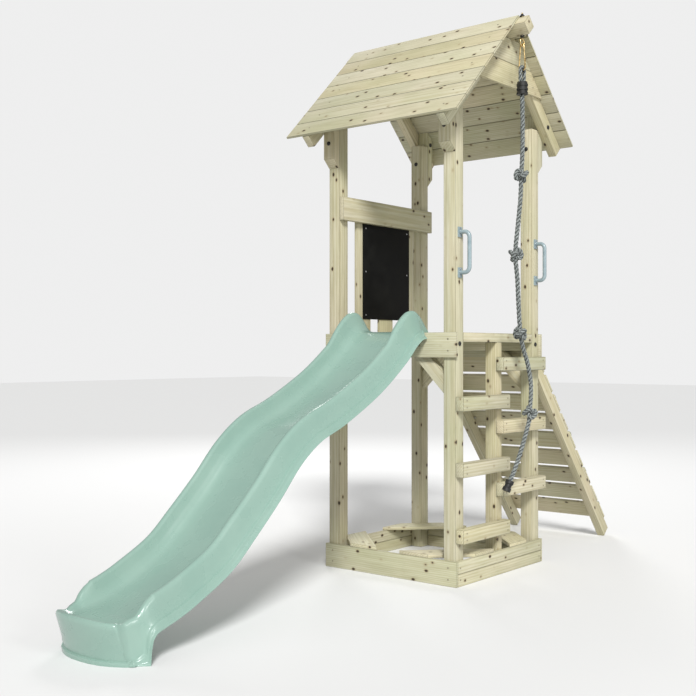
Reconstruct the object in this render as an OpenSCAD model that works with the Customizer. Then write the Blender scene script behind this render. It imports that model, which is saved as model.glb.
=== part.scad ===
/* [Timber] */
// Width of the square posts and the roof beam
post = 68; // [56:1:80]
// Thickness of the bars: rungs, rafters, braces, stringers
bar_t = 45; // [36:1:54]
// Width of the boards
board_w = 120; // [100:1:144]
// Thickness of the boards
board_t = 14; // [12:1:20]
// Gap left between neighbouring boards
board_gap = 1; // [0.5:0.5:3]

/* [Tower] */
// Distance over the outer faces of the posts, across the slide
frame_w = 778; // [650:1:934]
// Distance over the outer faces of the posts, along the slide
frame_d = 792; // [720:1:950]
// Height of the four posts
post_h = 2280; // [2200:1:2290]
// Height of the deck's top face
deck_h = 1200; // [1150:1:1230]
// Thickness of the deck boards
deck_t = 20; // [16:1:24]
// Number of deck boards
deck_boards = 5; // [4:1:5]
// Height over which a knee brace runs down its post
brace_drop = 210; // [150:1:300]
// Thickness of the corner seat boards
seat_t = 18; // [14:1:24]

/* [Ladder] */
// Top of the highest rung on the slide side
rung_top_a = 895; // [850:1:930]
// Top of the highest rung on the ramp side
rung_top_b = 1081; // [1050:1:1100]
// Vertical distance between two rungs of one side
rung_pitch = 312; // [280:1:320]
// Length of a rung past the middle of the frame
rung_lap = 32; // [26:1:50]

/* [Ramp] */
// Slope of the climbing ramp in degrees
ramp_angle = 50; // [45:0.5:56]
// Distance between the starts of two slats
slat_pitch = 144; // [144:1:150]
// Number of slats
slats = 10; // [6:1:10]
// Foot radius of a climbing hold
hold_r = 42; // [30:1:42]
// Height of a climbing hold
hold_h = 46; // [30:1:60]

/* [Roof] */
// Height of the roof beam's upper edge
ridge_z = 2760; // [2720:1:2820]
// Number of boards on each slope
roof_boards = 7; // [6:1:7]
// Width of a roof board
roof_board_w = 112; // [108:1:120]
// Thickness of a roof board
roof_board_t = 12; // [10:1:18]
// Length of the roof beam
beam_len = 1120; // [1120:1:1200]
// Length of beam left bare at the rope end
beam_bare = 54; // [54:1:70]
// Length of beam left bare at the other end
beam_bare_far = 24; // [10:1:60]
// Height of the gable's lower edge
gable_z = 2425; // [2400:1:2440]

/* [Chalkboard] */
// Width of the chalkboard
chalk_w = 412; // [350:1:500]
// Height of the chalkboard
chalk_h = 504; // [400:1:560]
// Thickness of the chalkboard
chalk_t = 5; // [3:1:10]
// Thickness of the rail above the chalkboard
rail_t = 28; // [20:1:36]
// Top of the rail above the chalkboard
rail_top = 1904; // [1850:1:2000]
// Distance between the middles of two battens
batten_pitch = 196; // [170:1:215]

/* [Slide] */
// Distance between the outer wall faces of the chute
slide_w = 400; // [340:1:460]
// Wall thickness of the chute
slide_t = 5; // [4:1:8]
// Height of the chute's walls above its bed
slide_wall = 76; // [60:1:90]
// Depth of the outer skirt below the bed
slide_skirt = 36; // [20:1:50]
// Width of the foot flange that lies on the ground
slide_foot_w = 480; // [440:1:520]

/* [Handles] */
// Height of a grab handle
handle_h = 240; // [200:1:280]
// Diameter of the grip
grip_d = 20; // [16:1:24]
// Distance of the grip's axis from the post
grip_out = 56; // [45:1:70]
// Height of the handles' middle
handle_z = 1578; // [1500:1:1650]

/* [Rope] */
// Diameter of the climbing rope
rope_d = 24; // [20:1:26]
// Diameter of the four knots
knot_d = 76; // [60:1:80]
// Distance of the rope's eye bolt from the beam's end
bolt_inset = 40; // [32:1:40]
// Wire diameter of the eye bolt and its ring
eye_wire = 8; // [6:1:9]
// Wire diameter of the snap hook
hook_wire = 7; // [5:1:8]
// Height of the snap hook between its two bends
hook_len = 102; // [90:1:110]

/* [Hidden] */
$fn = 48;

// Colours
timber = [0.82, 0.80, 0.62];
timber_dark = [0.74, 0.72, 0.52];
black_plastic = [0.06, 0.06, 0.06];
mint = [0.60, 0.78, 0.70];
steel = [0.75, 0.77, 0.78];
zinc_yellow = [0.78, 0.62, 0.34];
rope_grey = [0.42, 0.46, 0.44];

// Clearances
fit_gap = 0.3;      // beside a piece that is dropped in
bolt_gap = 0.3;     // round a bolt, on the radius
seat_gap = 0.5;     // between a corner seat and its post
lay_gap = 0.05;     // under boards laid on a slope
proud = 0.6;        // a screw head above its board

// Frame planes, measured from the tower's middle
half_w = frame_w / 2;
half_d = frame_d / 2;
in_w = half_w - post;
in_d = half_d - post;
mid_w = half_w - post / 2;
mid_d = half_d - post / 2;
base_w = frame_w + 2 * board_t;
base_half_w = half_w + board_t;
base_half_d = half_d + board_t;
beam_top = deck_h - deck_t;
beam_low = beam_top - post;
beam_mid = (beam_top + beam_low) / 2;

// Roof lines: u runs down the slope, v goes in from the boards' under face
roof_len = beam_len - beam_bare - beam_bare_far;
slope_len = roof_boards * (roof_board_w + board_gap) - board_gap;
diag = post * sqrt(2);
leg_low = 2052;
leg_bolt_z = 2175;
rafter_bolt_y = half_d + bar_t / 2;
rafter_bolt_z = ridge_z - rafter_bolt_y - diag / 2;
gable_x = half_w + bar_t;
gable_step = (ridge_z - diag - gable_z) / 2;

// Ramp lines
ramp_top = deck_h - 6;
stringer_rise = post / cos(ramp_angle);
ramp_run = (ramp_top - stringer_rise) / tan(ramp_angle);
ramp_foot = base_half_d + ramp_run;
ramp_end = ramp_foot + post * sin(ramp_angle);

// Chute line: places along the slide, from the base's front face, and heights of the bed
bed_y = [60, 0, -50, -110, -199, -387, -624, -801, -934, -1060, -1200, -1325, -1489, -1620, -1720];
bed_z = [1205.2, 1205.2, 1198, 1160, 1081, 951, 830, 759, 665, 534, 404, 298, 213, 163, 140];
slide_front = -1850 - base_half_d;
box_back = -1700 - base_half_d;
lip_top = 176;
peak = 105;

// One origin for all: the middle of the part's length
origin_y = (slide_front + ramp_end) / 2;

// Bolt, screw and cap sizes
bolt_r = 4;
cap_r = 11;
cap_h = 7;
screw_r = 2;
head_r = 4;
head_h = 2.4;
screw_len = 38;

// Rope rig, all on one plumb line
rig_x = beam_len / 2 - bolt_inset;
beam_under = ridge_z - diag;
washer_t = 3;
nut_h = 7;
nut_r = 8;
eye_r = 18;
eye_z = beam_under - washer_t - nut_h - eye_r - eye_wire / 2;
eye_low = eye_z - eye_r;
hook_top_r = 10;
hook_low_r = 17;
hook_top_z = eye_low + (eye_wire + hook_wire) / 2 + fit_gap - hook_top_r;
hook_low_z = hook_top_z - hook_len;
hook_low = hook_low_z - hook_low_r;
gate_foot = 8;
gate_reach = 84;
gate_wire = 6;
gate_pin_r = 1.2;
thimble_in = 7;
thimble_out = 8.6;
thimble_w = 14;
thimble_z = hook_low - 1.2;
loop_r = 10;
collar_top = thimble_z - 56;
collar_h = 62;
collar_r = 28;
clamp_h = 54;
clamp_r = 21;

// Rope route below the collar: side offsets from the plumb line, and heights
route = [[0, 0, collar_top - collar_h], [0, 2, 2290], [0, 4, 2200], [0, 2, 2090],
    [0, -9, 1974], [0, -19, 1850], [0, -48, 1700], [0, -67, 1580], [0, -48, 1462],
    [0, -38, 1350], [0, -19, 1196], [0, 13, 1114], [0, 43, 1065], [0, 65, 1012],
    [0, 83, 950], [0, 83, 880], [0, 71, 806], [0, 66, 765], [0, 39, 712],
    [-4, -12, 614], [-14, -48, 536], [-26, -74, 478]];
knots = [4, 7, 10, 16];

// ---- helpers ----

module place() {
    translate([0, -origin_y, 0]) children();
}

module both_x() {
    children();
    mirror([1, 0, 0]) children();
}

module both_y() {
    children();
    mirror([0, 1, 0]) children();
}

// A box from its low corner to its high corner
module block(low, high) {
    translate(low) cube(high - low);
}

// An outline in the Y-Z plane, given thickness along X from x0 to x1
module side_cut(x0, x1, points) {
    translate([x0, 0, 0])
        rotate([90, 0, 90])
            linear_extrude(x1 - x0) polygon(points);
}

// An outline in the X-Z plane, given thickness along Y from y0 to y1
module front_cut(y0, y1, points) {
    translate([0, y1, 0])
        rotate([90, 0, 0])
            linear_extrude(y1 - y0) polygon(points);
}

module rod_x(x0, x1, r) {
    translate([x0, 0, 0]) rotate([0, 90, 0]) cylinder(r = r, h = x1 - x0);
}

module rod_y(y0, y1, r) {
    translate([0, y0, 0]) rotate([-90, 0, 0]) cylinder(r = r, h = y1 - y0);
}

// A screw whose head is at the origin and whose shank goes down -Z
module screw(length = screw_len, head = head_r) {
    translate([0, 0, proud - head_h]) cylinder(r = head, h = head_h);
    translate([0, 0, -length]) cylinder(r = screw_r, h = length + proud - head_h / 2);
}

module screw_px(length = screw_len) rotate([0, 90, 0]) screw(length);
module screw_ny(length = screw_len) rotate([90, 0, 0]) screw(length);
module screw_py(length = screw_len) rotate([-90, 0, 0]) screw(length);

// The domed cap that covers a bolt's head, standing on z = 0
module cap() {
    rotate_extrude($fn = 32) polygon([[0, 0], [cap_r, 0], [cap_r, cap_h * 0.35],
        [cap_r * 0.9, cap_h * 0.62], [cap_r * 0.62, cap_h * 0.88], [0, cap_h]]);
}

// A bolt from z = 0 up to z = length, with a cap beyond each end that is wanted
module capped_bolt(length, far_cap = true) {
    cylinder(r = bolt_r, h = length);
    translate([0, 0, length]) cap();
    if (far_cap) mirror([0, 0, 1]) cap();
}

// Places a child on the ramp: s down the slope from its top, h out from the stringers
module on_ramp(s, h = 0) {
    translate([0, base_half_d + s * cos(ramp_angle) + h * sin(ramp_angle),
        ramp_top - s * sin(ramp_angle) + h * cos(ramp_angle)])
        rotate([-ramp_angle, 0, 0]) children();
}

// Puts a child on the slide-side slope: u down the slope, h out of the boards' under face
module on_slope(u, h = 0) {
    translate([0, -(u + h) * sin(45), ridge_z - (u - h) * sin(45)])
        rotate([45, 0, 0]) children();
}

// ---- tower ----

module post_holes() {
    translate([0, mid_d, beam_mid]) rod_x(in_w - 1, half_w + 1, bolt_r + bolt_gap);
    translate([mid_w, 0, leg_bolt_z]) rod_y(in_d - 1, half_d + 1, bolt_r + bolt_gap);
}

module corner_posts() {
    color(timber) place() both_x() both_y() difference() {
        block([in_w, in_d, 0], [half_w, half_d, post_h]);
        post_holes();
    }
}

module base_front_board() {
    color(timber) place()
        block([-base_half_w, -base_half_d, 0], [base_half_w, -half_d, board_w]);
}

// Two narrow boards, one above the other
module split_board(low, high) {
    half = (board_w - board_gap) / 2;
    block([low[0], low[1], 0], [high[0], high[1], half]);
    block([low[0], low[1], half + board_gap], [high[0], high[1], board_w]);
}

module base_back_boards() {
    color(timber) place()
        split_board([-base_half_w, half_d], [base_half_w, base_half_d]);
}

module base_side_boards() {
    color(timber) place() both_x()
        split_board([half_w, -half_d], [base_half_w, half_d]);
}

// A board laid across a corner, its ends flush with the base
module corner_seats() {
    near = 2 * (board_t + post) + seat_gap;
    far = near + board_w * sqrt(2);
    color(timber) place() both_x() both_y()
        translate([base_half_w, base_half_d, board_w])
            linear_extrude(seat_t)
                polygon([[-near, 0], [-far, 0], [0, -far], [0, -near]]);
}

module deck_cross_beams() {
    color(timber_dark) place() both_y() difference() {
        block([-in_w, mid_d - bar_t / 2, beam_low], [in_w, mid_d + bar_t / 2, beam_top]);
        both_x() translate([0, mid_d, beam_mid]) rod_x(in_w - 61, in_w + 1, bolt_r + bolt_gap);
    }
}

module deck_side_beams() {
    color(timber) place() both_x()
        block([in_w, -in_d, deck_h - bar_t], [half_w, in_d, deck_h]);
}

module deck_joist() {
    color(timber_dark) place()
        block([-in_w, -bar_t / 2, beam_low], [in_w, bar_t / 2, beam_top]);
}

module deck_planks() {
    room = 2 * in_w - 2 * board_gap;
    pitch = (room - board_w) / (deck_boards - 1);
    color(timber) place() for (i = [0 : deck_boards - 1])
        translate([-room / 2 + i * pitch, -half_d, beam_top])
            cube([board_w, frame_d, deck_t]);
}

module deck_fascias() {
    color(timber) place() both_y()
        block([-base_half_w, half_d, deck_h - board_w], [base_half_w, base_half_d, deck_h]);
}

module knee_braces() {
    low = beam_low - brace_drop;
    color(timber_dark) place() both_x() both_y()
        front_cut(mid_d - bar_t / 2, mid_d + bar_t / 2, [[in_w, low], [in_w, low + diag],
            [in_w - brace_drop + diag, beam_low], [in_w - brace_drop, beam_low]]);
}

// ---- ladder ----

module ladder_post() {
    color(timber) place()
        block([in_w, -bar_t / 2, 0], [half_w, bar_t / 2, deck_h - bar_t]);
}

module rungs(top, y0, y1) {
    for (i = [0 : 2])
        block([half_w, y0, top - i * rung_pitch - post], [half_w + bar_t, y1, top - i * rung_pitch]);
}

module ladder_rungs_near_slide() {
    color(timber) place() rungs(rung_top_a, -half_d, rung_lap);
}

module ladder_rungs_near_ramp() {
    color(timber) place() rungs(rung_top_b, -rung_lap, half_d);
}

// ---- climbing ramp ----

module ramp_stringers() {
    color(timber) place() both_x()
        side_cut(in_w - bar_t, in_w, [[ramp_foot, 0],
            [ramp_end, post * cos(ramp_angle)],
            [base_half_d, ramp_top], [base_half_d, ramp_top - stringer_rise]]);
}

module ramp_slats() {
    color(timber) place() for (i = [0 : slats - 1])
        difference() {
            on_ramp(i * slat_pitch, lay_gap) translate([-in_w, 0, 0])
                cube([2 * in_w, board_w, board_t - lay_gap]);
            if (has_hold(i)) on_ramp(i * slat_pitch)
                translate([hold_x(i), hold_y, -1]) cylinder(r = bolt_r + bolt_gap, h = board_t + 2);
        }
}

// Holds stand on all slats but the two highest, by turns left and right
function has_hold(i) = i >= 2;
function hold_x(i) = (i % 2 == 1 ? 1 : -1) * (in_w - bar_t - 10);
hold_y = 50;
hold_bore = bolt_r + bolt_gap;

module climbing_holds() {
    color(timber_dark) place() for (i = [0 : slats - 1]) if (has_hold(i))
        on_ramp(i * slat_pitch, board_t) translate([hold_x(i), hold_y, 0])
            rotate_extrude($fn = 40) polygon([[hold_bore, 0], [hold_r, 0],
                [hold_r * 0.98, hold_h * 0.3], [hold_r * 0.86, hold_h * 0.66],
                [hold_r * 0.6, hold_h * 0.92], [hold_r * 0.3, hold_h], [8, hold_h],
                [8, hold_h - 8], [hold_bore, hold_h - 8]]);
}

// A round-headed bolt through each hold, with its nut behind the slat
module hold_bolts() {
    nut_t = 6;
    color(steel) place() for (i = [0 : slats - 1]) if (has_hold(i))
        on_ramp(i * slat_pitch, board_t) translate([hold_x(i), hold_y, 0]) {
            translate([0, 0, hold_h - 8]) cylinder(r = 7, h = 5);
            translate([0, 0, -board_t - nut_t]) cylinder(r = bolt_r, h = board_t + nut_t + hold_h - 6);
            translate([0, 0, -board_t - nut_t]) cylinder(r = nut_r, h = nut_t, $fn = 6);
        }
}

// ---- chalkboard ----

module chalkboard_rail() {
    color(timber) place()
        block([-in_w, -half_d, rail_top - board_w], [-in_w + rail_t, half_d, rail_top]);
}

module chalkboard_battens() {
    color(timber_dark) place() for (i = [-1 : 1])
        block([-in_w - board_t, i * batten_pitch - board_w / 2, deck_h],
            [-in_w, i * batten_pitch + board_w / 2, rail_top - 20]);
}

module chalkboard() {
    top = rail_top - board_w;
    color([0.04, 0.04, 0.04]) place()
        block([-in_w, -chalk_w / 2, top - chalk_h], [-in_w + chalk_t, chalk_w / 2, top]);
}

module chalkboard_screws() {
    inset = 23;
    top = rail_top - board_w;
    color(steel) place() both_y() for (z = [top - inset, top - chalk_h / 2, top - chalk_h + inset])
        translate([-in_w + chalk_t, chalk_w / 2 - inset, z]) screw_px(chalk_t + board_t - 2);
}

// ---- roof ----

module roof_beam() {
    color(timber) place() difference() {
        translate([-beam_len / 2, 0, ridge_z - diag / 2])
            rotate([45, 0, 0]) translate([0, -post / 2, -post / 2]) cube([beam_len, post, post]);
        translate([rig_x, 0, beam_under - 1]) cylinder(r = eye_wire / 2 + bolt_gap, h = diag + 2);
    }
}

module rafters() {
    color(timber) place() both_x() both_y() difference() {
        translate([half_w, 0, 0]) on_slope(slope_len, -post)
            cube([bar_t, slope_len - post - fit_gap, post]);
        translate([0, -rafter_bolt_y, rafter_bolt_z])
            rod_x(half_w - 1, half_w + bar_t + 1, bolt_r + bolt_gap);
    }
}

// The short legs that carry the rafters, bolted to the outer faces of the posts
module roof_legs() {
    out = half_d + bar_t;
    color(timber) place() both_x() both_y() difference() {
        side_cut(in_w, half_w, [[half_d, leg_low], [out, leg_low + bar_t],
            [out, ridge_z - out], [half_d, ridge_z - half_d]]);
        translate([mid_w, 0, leg_bolt_z]) rod_y(half_d - 1, out + 1, bolt_r + bolt_gap);
        translate([0, rafter_bolt_y, rafter_bolt_z])
            rod_x(in_w - 1, half_w + 1, bolt_r + bolt_gap);
    }
}

// A gable board between two heights, its ends cut along the roof
module gable_board(z0, z1) {
    both_x() side_cut(gable_x, gable_x + board_t, [[z0 - ridge_z, z0], [ridge_z - z0, z0],
        [ridge_z - z1, z1], [z1 - ridge_z, z1]]);
}

module gable_lower_boards() {
    color(timber) place() gable_board(gable_z, gable_z + gable_step - board_gap);
}

module gable_upper_boards() {
    color(timber) place() gable_board(gable_z + gable_step, beam_under - fit_gap);
}

module roof_slope() {
    for (i = [0 : roof_boards - 1])
        translate([beam_bare_far - beam_len / 2, 0, 0])
            on_slope((i + 1) * (roof_board_w + board_gap) - board_gap, lay_gap)
                cube([roof_len, roof_board_w, roof_board_t]);
}

module roof_slope_slide_side() {
    color(timber) place() roof_slope();
}

module roof_slope_ramp_side() {
    color(timber) place() mirror([0, 1, 0]) roof_slope();
}

// ---- slide ----

// Point k of a smooth curve through the points of a list, at t from 0 to 1
function spline(p, k, t) =
    let (a = p[max(k - 1, 0)], b = p[k], c = p[k + 1], d = p[min(k + 2, len(p) - 1)])
    0.5 * ((2 * b) + (c - a) * t + (2 * a - 5 * b + 4 * c - d) * t * t
        + (3 * b - a - 3 * c + d) * t * t * t);
steps = 4;
bed = [for (k = [0 : len(bed_y) - 2]) for (j = [0 : steps - 1])
    [spline(bed_y, k, j / steps) - base_half_d, spline(bed_z, k, j / steps)]];
last = len(bed) - 1;

// Direction of the bed at point i, and the bed moved square to itself by h
function bed_dir(i) =
    let (v = bed[min(i + 1, last)] - bed[max(i - 1, 0)]) v / norm(v);
function bed_at(i, h) = bed[i] + h * [min(bed_dir(i)[1], 0), -bed_dir(i)[0]];

// Rim height over the bed: a round shoulder at the deck, then an even wall
function rim(i) = let (y = bed[i][0] + base_half_d)
    y > -50 ? peak * sin(90 * min(1, (64 - y) / 114))
    : y > -200 ? slide_wall + (peak - slide_wall) * (y + 200) / 150 : slide_wall;

// The skirt stops where the chute lies on the deck
function skirt(i) = bed[i][0] + base_half_d >= -1 ? slide_t : slide_skirt;

module slide_wall_side() {
    outline = concat([for (i = [0 : last]) bed_at(i, rim(i))],
        [[slide_front + 62, lip_top + 12], [slide_front + 26, lip_top - 12], [slide_front, 0],
            [box_back, 0], [box_back, 56]],
        [for (i = [last - 2 : -1 : 0]) bed_at(i, -skirt(i))]);
    side_cut(slide_w / 2 - slide_t, slide_w / 2, outline);
}

module slide_chute() {
    flange = (slide_foot_w - slide_w) / 2;
    color(mint) place() {
        both_x() slide_wall_side();
        // the bed
        side_cut(-slide_w / 2 + slide_t / 2, slide_w / 2 - slide_t / 2, concat(
            [for (i = [0 : last]) bed[i]],
            [[slide_front + 60, bed_z[13] - 20], [slide_front + 60, bed_z[13] - 20 - slide_t]],
            [for (i = [last : -1 : 0]) bed_at(i, -slide_t)]));
        // the foot's raised front, and the flange round it
        side_cut(-slide_w / 2, slide_w / 2, [[slide_front + 62, bed_z[13] - 25],
            [slide_front + 62, bed_z[13] - 20], [slide_front + 40, lip_top], [slide_front + 26, lip_top - 12],
            [slide_front, 0], [slide_front + slide_t, 0], [slide_front + 32, lip_top - 18]]);
        block([-slide_foot_w / 2, slide_front, 0], [slide_foot_w / 2, slide_front + 10, 22]);
        both_x() block([slide_w / 2 - slide_t / 2, slide_front, 0],
            [slide_w / 2 + flange, box_back, 22]);
    }
}

module slide_screws() {
    color(steel) place() both_x() translate([slide_w / 2 - 60, 36 - half_d, bed_z[0]]) screw(34, 7);
}

// ---- grab handles ----

module grab_handles() {
    bend = 26;
    arm = handle_h / 2 - 24;
    color([0.80, 0.86, 0.84]) place() both_y()
        translate([half_w, mid_d, handle_z]) {
            translate([grip_out, 0, -arm + bend]) cylinder(r = grip_d / 2, h = 2 * (arm - bend));
            for (s = [-1, 1]) {
                translate([grip_out - bend, 0, s * (arm - bend)]) rotate([90, 0, 0])
                    rotate([0, 0, s > 0 ? 0 : -90])
                        rotate_extrude(angle = 90) translate([bend, 0]) circle(r = grip_d / 2);
                translate([0, 0, s * arm]) rod_x(4, grip_out - bend, grip_d / 2);
                translate([0, -16, s * arm - 24]) cube([6, 32, 48]);
            }
        }
}

module handle_screws() {
    arm = handle_h / 2 - 24;
    color(steel) place() both_y() for (s = [-1, 1]) for (e = [-17, 17])
        translate([half_w + 6, mid_d, handle_z + s * arm + e]) screw_px(36);
}

// ---- fasteners of the frame ----

module deck_bolts() {
    color(black_plastic) place() both_x() both_y()
        translate([in_w - 60, mid_d, beam_mid]) rotate([0, 90, 0]) capped_bolt(post + 60, false);
}

module leg_bolts() {
    color(black_plastic) place() both_x() both_y()
        translate([mid_w, in_d, leg_bolt_z]) rotate([-90, 0, 0]) capped_bolt(post + bar_t);
}

module rafter_bolts() {
    color(black_plastic) place() both_x() both_y()
        translate([in_w, rafter_bolt_y, rafter_bolt_z]) rotate([0, 90, 0]) capped_bolt(post + bar_t);
}

module board_screws() {
    edge = 20;
    color(timber_dark) place() both_x() {
        // base boards, fascias and rail
        both_y() for (z = [32, board_w - 32]) {
            translate([mid_w, base_half_d, z]) screw_py();
            translate([base_half_w, mid_d + 14, z]) screw_px();
            translate([mid_w, base_half_d, deck_h - board_w + z]) screw_py();
        }
        // the corner seats
        both_y() translate([base_half_w - board_t / 2, base_half_d - 2 * (board_t + post) - 60, board_w + seat_t])
            screw(34);
        // deck planks
        both_y() for (i = [0 : 1])
            translate([edge + i * 130, mid_d - 18, deck_h]) screw();
        // gable boards
        both_y() translate([gable_x + board_t, gable_z + 40 - ridge_z + 60, gable_z + 40]) screw_px();
    }
}

module rung_screws() {
    color(timber_dark) place() for (i = [0 : 2]) for (z = [-18, -50]) {
        translate([half_w + bar_t, -half_d + 30, rung_top_a - i * rung_pitch + z]) screw_px(70);
        translate([half_w + bar_t, 6, rung_top_a - i * rung_pitch + z]) screw_px(70);
        translate([half_w + bar_t, half_d - 30, rung_top_b - i * rung_pitch + z]) screw_px(70);
        translate([half_w + bar_t, -6, rung_top_b - i * rung_pitch + z]) screw_px(70);
    }
}

module slat_screws() {
    color(timber_dark) place() both_x() for (i = [0 : slats - 1]) for (y = [30, board_w - 22])
        on_ramp(i * slat_pitch, board_t) translate([in_w - 8, y, 0]) screw();
}

module roof_screws() {
    color(timber_dark) place() both_x() both_y() for (i = [0 : roof_boards - 1])
        translate([half_w + bar_t / 2, 0, 0])
            on_slope((i + 0.5) * (roof_board_w + board_gap), roof_board_t) screw();
}

// ---- rope rig ----

module rig(z) {
    place() translate([rig_x, 0, z]) children();
}

module eye_bolt() {
    color(zinc_yellow) rig(eye_z) {
        rotate([0, 90, 0]) rotate_extrude() translate([eye_r, 0]) circle(r = eye_wire / 2, $fn = 32);
        translate([0, 0, eye_r - 1]) cylinder(r = eye_wire / 2, h = ridge_z + 18 - eye_z - eye_r);
    }
}

module ring(r0, r1, h, sides = 48) {
    difference() {
        cylinder(r = r1, h = h, $fn = sides);
        translate([0, 0, -1]) cylinder(r = r0, h = h + 2);
    }
}

module eye_bolt_nuts() {
    bore = eye_wire / 2 + 0.05;
    color(black_plastic) {
        rig(beam_under - washer_t) ring(bore, 12, washer_t - 0.05);
        rig(beam_under - washer_t - nut_h) ring(bore, nut_r, nut_h - 0.1, 6);
        rig(ridge_z + 0.05) ring(bore, 12, washer_t - 0.05);
        rig(ridge_z + washer_t + 0.1) ring(bore, nut_r, nut_h, 6);
    }
}

// Smooth tube of radius r along points, its rings turned square to the path
function path_dir(p, i) =
    let (v = p[min(i + 1, len(p) - 1)] - p[max(i - 1, 0)]) v / norm(v);
function path_ring(p, i, r, n, side, d) =
    let (a = cross(d, side) / norm(cross(d, side)), b = cross(d, a))
    [for (k = [0 : n - 1]) p[i] + r * (cos(360 * k / n) * a + sin(360 * k / n) * b)];

module tube(p, r, n, side, first_dir) {
    m = len(p);
    points = [for (i = [0 : m - 1]) each path_ring(p, i, r, n, side, i == 0 ? first_dir : path_dir(p, i))];
    walls = [for (i = [0 : m - 2]) for (k = [0 : n - 1])
        [i * n + k, (i + 1) * n + k, (i + 1) * n + (k + 1) % n, i * n + (k + 1) % n]];
    polyhedron(points, concat([[for (k = [0 : n - 1]) k]], walls,
        [[for (k = [n - 1 : -1 : 0]) (m - 1) * n + k]]));
}

// The hook's wire runs from the nose over the top bend, down the closed side and round to the hinge
side_lean = asin((hook_low_r - hook_top_r) / hook_len);
side_low = [hook_low_r * cos(side_lean), 0, hook_low_z + hook_low_r * sin(side_lean)];
function side_point(s) = side_low + s * [-sin(side_lean), 0, cos(side_lean)];
nose = side_point(gate_foot + gate_reach + 1);
hook_path = concat([nose],
    [for (t = [0 : 12]) let (q = side_lean + t * (180 - 2 * side_lean) / 12)
        [hook_top_r * cos(q), 0, hook_top_z + hook_top_r * sin(q)]],
    [for (t = [0 : 14]) let (q = 180 - side_lean + t * (180 + 2 * side_lean) / 14)
        [hook_low_r * cos(q), 0, hook_low_z + hook_low_r * sin(q)]],
    [side_point(gate_foot + 3)]);

module snap_hook() {
    color(zinc_yellow) rig(0) difference() {
        tube(hook_path, hook_wire / 2, 16, [0, 1, 0], [-sin(side_lean), 0, cos(side_lean)]);
        at_gate() rod_y(-8, 8, gate_pin_r + 0.02);
        // flats beside the stub, where the gate's cheeks turn
        at_gate() for (s = [-1, 1]) translate([-6, s > 0 ? 1.6 : -6.6, -4.5]) cube([12, 5, 12]);
    }
}

// The gate's hinge point, leaning with the open side
module at_gate() {
    translate(side_point(gate_foot)) rotate([0, -side_lean, 0]) children();
}

module hook_gate() {
    color(zinc_yellow) rig(0) at_gate() difference() {
        union() {
            translate([0, 0, 4]) cylinder(r = gate_wire / 2, h = gate_reach - 4);
            rod_y(-3, 3, 3);
            translate([-3, -3, 0]) cube([6, 6, 6]);
        }
        rod_y(-5, 5, gate_pin_r + 0.05);
        // the slot that the stub stands in
        translate([-5, -1.8, -5]) cube([10, 3.6, 9.2]);
    }
}

module gate_pin() {
    color(steel) rig(0) at_gate() rod_y(-3.4, 3.4, gate_pin_r);
}

// A U of round section in the Y-Z plane: a half ring above two legs
module loop_u(r, wire, leg) {
    rotate([0, 0, 90]) {
        half_ring(r, wire, true);
        for (s = [-1, 1]) translate([s * r, 0, -leg]) cylinder(r = wire / 2, h = leg);
    }
}

module rope_thimble() {
    color(black_plastic) rig(thimble_z) rotate([0, 90, 0])
        translate([0, 0, -thimble_w / 2]) ring(thimble_in, thimble_out, thimble_w);
}

module rope_loop() {
    color(rope_grey) rig(thimble_z)
        loop_u(thimble_out + loop_r + 0.1, 2 * loop_r, thimble_z - collar_top);
}

module rope_collar() {
    rib = collar_h / 6;
    color(black_plastic) rig(collar_top - collar_h)
        rotate_extrude() polygon(concat([[0, 0], [collar_r - 3, 0]],
            [for (k = [0 : 5]) for (q = [[k % 2 == 0 ? 0 : 3, k], [k % 2 == 0 ? 0 : 3, k + 1]])
                [collar_r - q[0], q[1] * rib]],
            [[collar_r - 3, collar_h], [0, collar_h]]));
}

// Smooth line through the route, and the tube round it
fine = 3;
line = concat([for (k = [0 : len(route) - 2]) for (j = [0 : fine - 1]) spline(route, k, j / fine)],
    [route[len(route) - 1]]);
rings = len(line);

module rope() {
    color(rope_grey) rig(0) tube(line, rope_d / 2, 10, [1, 0, 0], [0, 0, -1]);
}

module rope_knots() {
    color(rope_grey) rig(0) for (k = knots) translate(route[k]) sphere(r = knot_d / 2);
}

// Pressed round the rope's end, in line with it
module rope_end_clamp() {
    d = path_dir(line, rings - 1);
    tip = line[rings - 1];
    color(black_plastic) rig(0) translate(tip)
        rotate([0, acos(d[2]), atan2(d[1], d[0])])
            rotate_extrude() polygon([[0, 0], [clamp_r, 0], [clamp_r, 16], [clamp_r - 4, 20],
                [clamp_r - 4, 34], [clamp_r, 38], [clamp_r, clamp_h], [0, clamp_h]]);
}

corner_posts();
base_front_board();
base_back_boards();
base_side_boards();
corner_seats();
deck_cross_beams();
deck_side_beams();
deck_joist();
deck_planks();
deck_fascias();
knee_braces();
ladder_post();
ladder_rungs_near_slide();
ladder_rungs_near_ramp();
ramp_stringers();
ramp_slats();
climbing_holds();
hold_bolts();
chalkboard_rail();
chalkboard_battens();
chalkboard();
chalkboard_screws();
roof_beam();
rafters();
roof_legs();
gable_lower_boards();
gable_upper_boards();
roof_slope_slide_side();
roof_slope_ramp_side();
slide_chute();
slide_screws();
grab_handles();
handle_screws();
deck_bolts();
leg_bolts();
rafter_bolts();
board_screws();
rung_screws();
slat_screws();
roof_screws();
eye_bolt();
eye_bolt_nuts();
snap_hook();
hook_gate();
gate_pin();
rope_thimble();
rope_loop();
rope_collar();
rope();
rope_knots();
rope_end_clamp();
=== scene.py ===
import math
import random
import bpy
from mathutils import Matrix, Vector
from mathutils.kdtree import KDTree


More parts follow.
